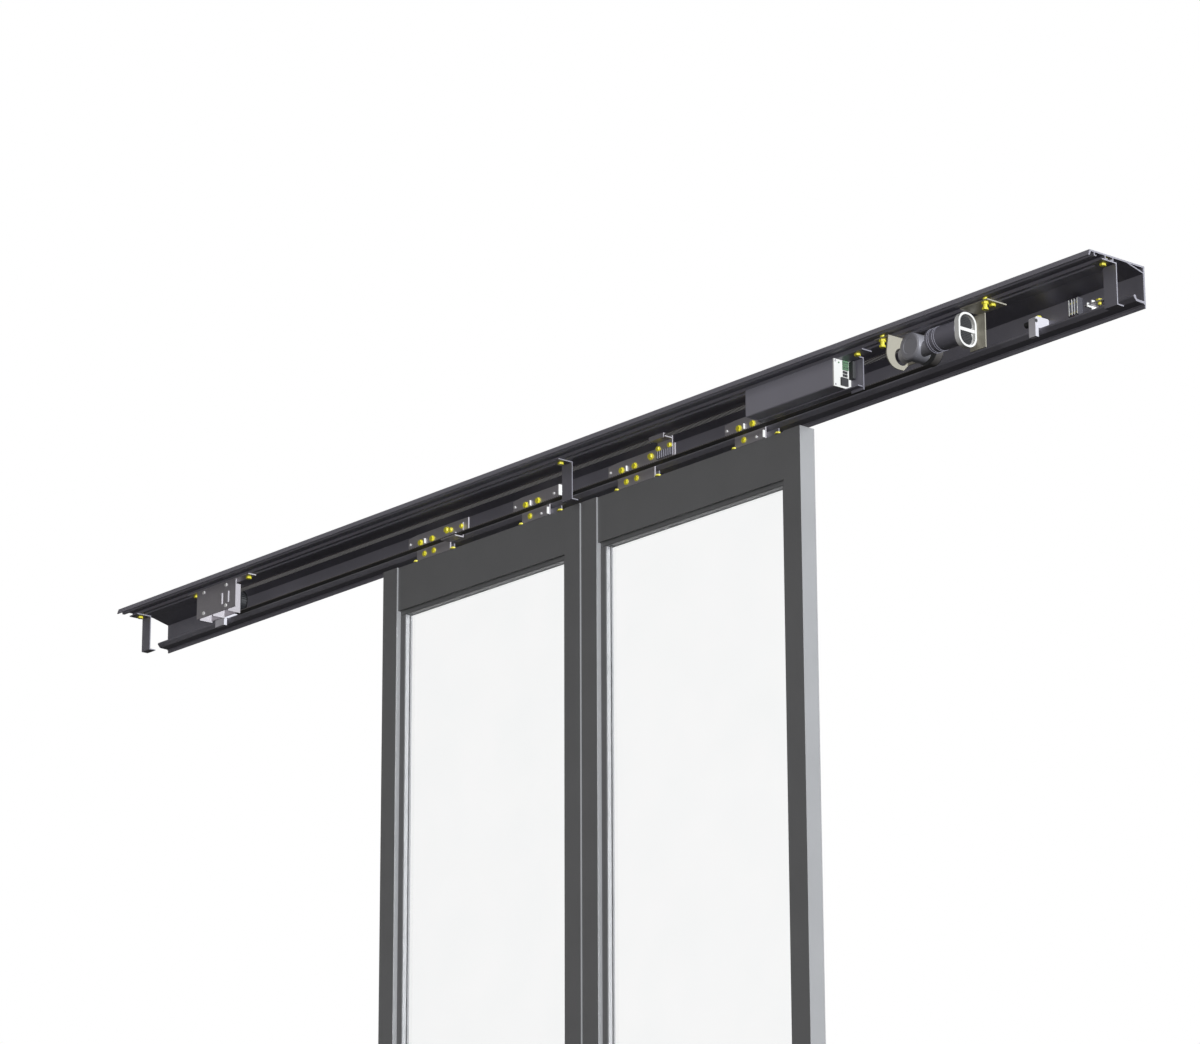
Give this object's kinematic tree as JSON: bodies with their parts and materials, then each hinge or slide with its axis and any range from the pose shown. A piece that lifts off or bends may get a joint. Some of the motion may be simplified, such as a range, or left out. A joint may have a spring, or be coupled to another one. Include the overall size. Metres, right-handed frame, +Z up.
{
  "type": "automatic sliding glass door",
  "caption": "Automatic sliding door with a slim open-fronted header, belt drive and two framed glass leaves that part in the middle.",
  "frame": {"origin": "centre of the header's back face, which lies against the wall", "axes": "+X along the header to the right as seen from the front, +Y into the wall, +Z up"},
  "size_m": [3.815, 0.183, 2.3],
  "materials": {
    "anodised_dark": "dark grey anodised aluminium, satin",
    "zinc_steel": "zinc-plated sheet steel",
    "yellow_zinc": "yellow-passivated zinc",
    "black_steel": "black-coated steel",
    "die_cast": "die-cast aluminium",
    "motor_grey": "grey paint",
    "light_casting": "off-white paint",
    "belt_rubber": "black toothed rubber belt",
    "seal_rubber": "black rubber",
    "housing_grey": "grey plastic",
    "panel_white": "white plastic",
    "terminal_green": "green plastic",
    "black_plastic": "black plastic",
    "nylon_white": "white nylon",
    "clear_glass": "clear toughened glass"
  },
  "bodies": {
    "header": {"header_profile": "anodised_dark", "cover_brackets": "zinc_steel", "idler_bracket": "zinc_steel", "idler_rivets": "zinc_steel", "idler_shaft": "zinc_steel", "toothed_belt": "belt_rubber", "drive_bracket": "zinc_steel", "gearbox_housing": "die_cast", "gearbox_cap": "die_cast", "motor_housing": "motor_grey", "motor_end_bell": "light_casting", "drive_shaft": "zinc_steel", "control_housing": "housing_grey", "control_end_panel": "panel_white", "control_board": "terminal_green", "green_connectors": "terminal_green", "black_connector": "black_plastic", "control_bracket": "zinc_steel", "end_stops": "zinc_steel", "stop_buffers": "seal_rubber", "terminal_block": "panel_white", "earth_bracket": "zinc_steel", "floor_guides": "nylon_white", "header_bolts": "yellow_zinc"},
    "left_leaf": {"left_leaf_outer_stile": "anodised_dark", "left_leaf_meeting_stile": "anodised_dark", "left_leaf_top_rail": "anodised_dark", "left_leaf_bottom_rail": "anodised_dark", "left_leaf_glass_pane": "clear_glass", "left_leaf_glazing_beads": "anodised_dark", "left_leaf_meeting_seal": "seal_rubber", "left_leaf_carriage_plates": "zinc_steel", "left_leaf_carriage_bolts": "yellow_zinc", "left_leaf_hanger_angles": "zinc_steel", "left_leaf_belt_clamp": "zinc_steel"},
    "right_leaf": {"right_leaf_outer_stile": "anodised_dark", "right_leaf_meeting_stile": "anodised_dark", "right_leaf_top_rail": "anodised_dark", "right_leaf_bottom_rail": "anodised_dark", "right_leaf_glass_pane": "clear_glass", "right_leaf_glazing_beads": "anodised_dark", "right_leaf_meeting_seal": "seal_rubber", "right_leaf_carriage_plates": "zinc_steel", "right_leaf_carriage_bolts": "yellow_zinc", "right_leaf_hanger_angles": "zinc_steel", "right_leaf_belt_clamp": "zinc_steel"},
    "idler_pulley": {"idler_pulley": "die_cast"},
    "drive_pulley": {"drive_pulley": "die_cast"},
    "service_key_1": {"service_key_1": "black_plastic"},
    "service_key_2": {"service_key_2": "black_plastic"},
    "service_key_3": {"service_key_3": "black_plastic"},
    "service_key_4": {"service_key_4": "black_plastic"},
    "left_leaf_roller_1": {"left_leaf_roller_1": "nylon_white"},
    "left_leaf_roller_2": {"left_leaf_roller_2": "nylon_white"},
    "left_leaf_roller_3": {"left_leaf_roller_3": "nylon_white"},
    "left_leaf_roller_4": {"left_leaf_roller_4": "nylon_white"},
    "right_leaf_roller_1": {"right_leaf_roller_1": "nylon_white"},
    "right_leaf_roller_2": {"right_leaf_roller_2": "nylon_white"},
    "right_leaf_roller_3": {"right_leaf_roller_3": "nylon_white"},
    "right_leaf_roller_4": {"right_leaf_roller_4": "nylon_white"}
  },
  "joints": [
    {"name": "left_leaf_slide", "type": "slide", "parent": "header", "child": "left_leaf", "axis": [-1, 0, 0], "range_m": [0, 0.79]},
    {"name": "right_leaf_slide", "type": "slide", "parent": "header", "child": "right_leaf", "axis": [1, 0, 0], "range_m": [0, 0.79]},
    {"name": "idler_pulley_turn", "type": "hinge", "parent": "header", "child": "idler_pulley", "pos_m": [-1.4825, -0.0635, -0.001], "axis": [0, 1, 0], "continuous": true},
    {"name": "drive_pulley_turn", "type": "hinge", "parent": "header", "child": "drive_pulley", "pos_m": [1.2845, -0.0635, -0.001], "axis": [0, 1, 0], "continuous": true},
    {"name": "service_key_1_press", "type": "slide", "parent": "header", "child": "service_key_1", "axis": [-1, 0, 0], "range_m": [0, 0.001], "stiffness_N_per_m": 400},
    {"name": "service_key_2_press", "type": "slide", "parent": "header", "child": "service_key_2", "axis": [-1, 0, 0], "range_m": [0, 0.001], "stiffness_N_per_m": 400},
    {"name": "service_key_3_press", "type": "slide", "parent": "header", "child": "service_key_3", "axis": [-1, 0, 0], "range_m": [0, 0.001], "stiffness_N_per_m": 400},
    {"name": "service_key_4_press", "type": "slide", "parent": "header", "child": "service_key_4", "axis": [-1, 0, 0], "range_m": [0, 0.001], "stiffness_N_per_m": 400},
    {"name": "left_leaf_roller_1_turn", "type": "hinge", "parent": "left_leaf", "child": "left_leaf_roller_1", "pos_m": [-0.675, -0.035, -0.0107], "axis": [0, -1, 0], "continuous": true},
    {"name": "left_leaf_roller_2_turn", "type": "hinge", "parent": "left_leaf", "child": "left_leaf_roller_2", "pos_m": [-0.625, -0.035, -0.0107], "axis": [0, -1, 0], "continuous": true},
    {"name": "left_leaf_roller_3_turn", "type": "hinge", "parent": "left_leaf", "child": "left_leaf_roller_3", "pos_m": [-0.232, -0.035, -0.0107], "axis": [0, -1, 0], "continuous": true},
    {"name": "left_leaf_roller_4_turn", "type": "hinge", "parent": "left_leaf", "child": "left_leaf_roller_4", "pos_m": [-0.182, -0.035, -0.0107], "axis": [0, -1, 0], "continuous": true},
    {"name": "right_leaf_roller_1_turn", "type": "hinge", "parent": "right_leaf", "child": "right_leaf_roller_1", "pos_m": [0.151, -0.035, -0.0107], "axis": [0, 1, 0], "continuous": true},
    {"name": "right_leaf_roller_2_turn", "type": "hinge", "parent": "right_leaf", "child": "right_leaf_roller_2", "pos_m": [0.201, -0.035, -0.0107], "axis": [0, 1, 0], "continuous": true},
    {"name": "right_leaf_roller_3_turn", "type": "hinge", "parent": "right_leaf", "child": "right_leaf_roller_3", "pos_m": [0.594, -0.035, -0.0107], "axis": [0, 1, 0], "continuous": true},
    {"name": "right_leaf_roller_4_turn", "type": "hinge", "parent": "right_leaf", "child": "right_leaf_roller_4", "pos_m": [0.644, -0.035, -0.0107], "axis": [0, 1, 0], "continuous": true}
  ],
  "couplings": [
    {"joint": "right_leaf_slide", "follows": "left_leaf_slide", "ratio": 1},
    {"joint": "idler_pulley_turn", "follows": "left_leaf_slide", "rad_per_m": 31.25},
    {"joint": "drive_pulley_turn", "follows": "left_leaf_slide", "rad_per_m": 31.25},
    {"joint": "left_leaf_roller_1_turn", "follows": "left_leaf_slide", "rad_per_m": 72.464},
    {"joint": "left_leaf_roller_2_turn", "follows": "left_leaf_slide", "rad_per_m": 72.464},
    {"joint": "left_leaf_roller_3_turn", "follows": "left_leaf_slide", "rad_per_m": 72.464},
    {"joint": "left_leaf_roller_4_turn", "follows": "left_leaf_slide", "rad_per_m": 72.464},
    {"joint": "right_leaf_roller_1_turn", "follows": "left_leaf_slide", "rad_per_m": 72.464},
    {"joint": "right_leaf_roller_2_turn", "follows": "left_leaf_slide", "rad_per_m": 72.464},
    {"joint": "right_leaf_roller_3_turn", "follows": "left_leaf_slide", "rad_per_m": 72.464},
    {"joint": "right_leaf_roller_4_turn", "follows": "left_leaf_slide", "rad_per_m": 72.464}
  ]
}
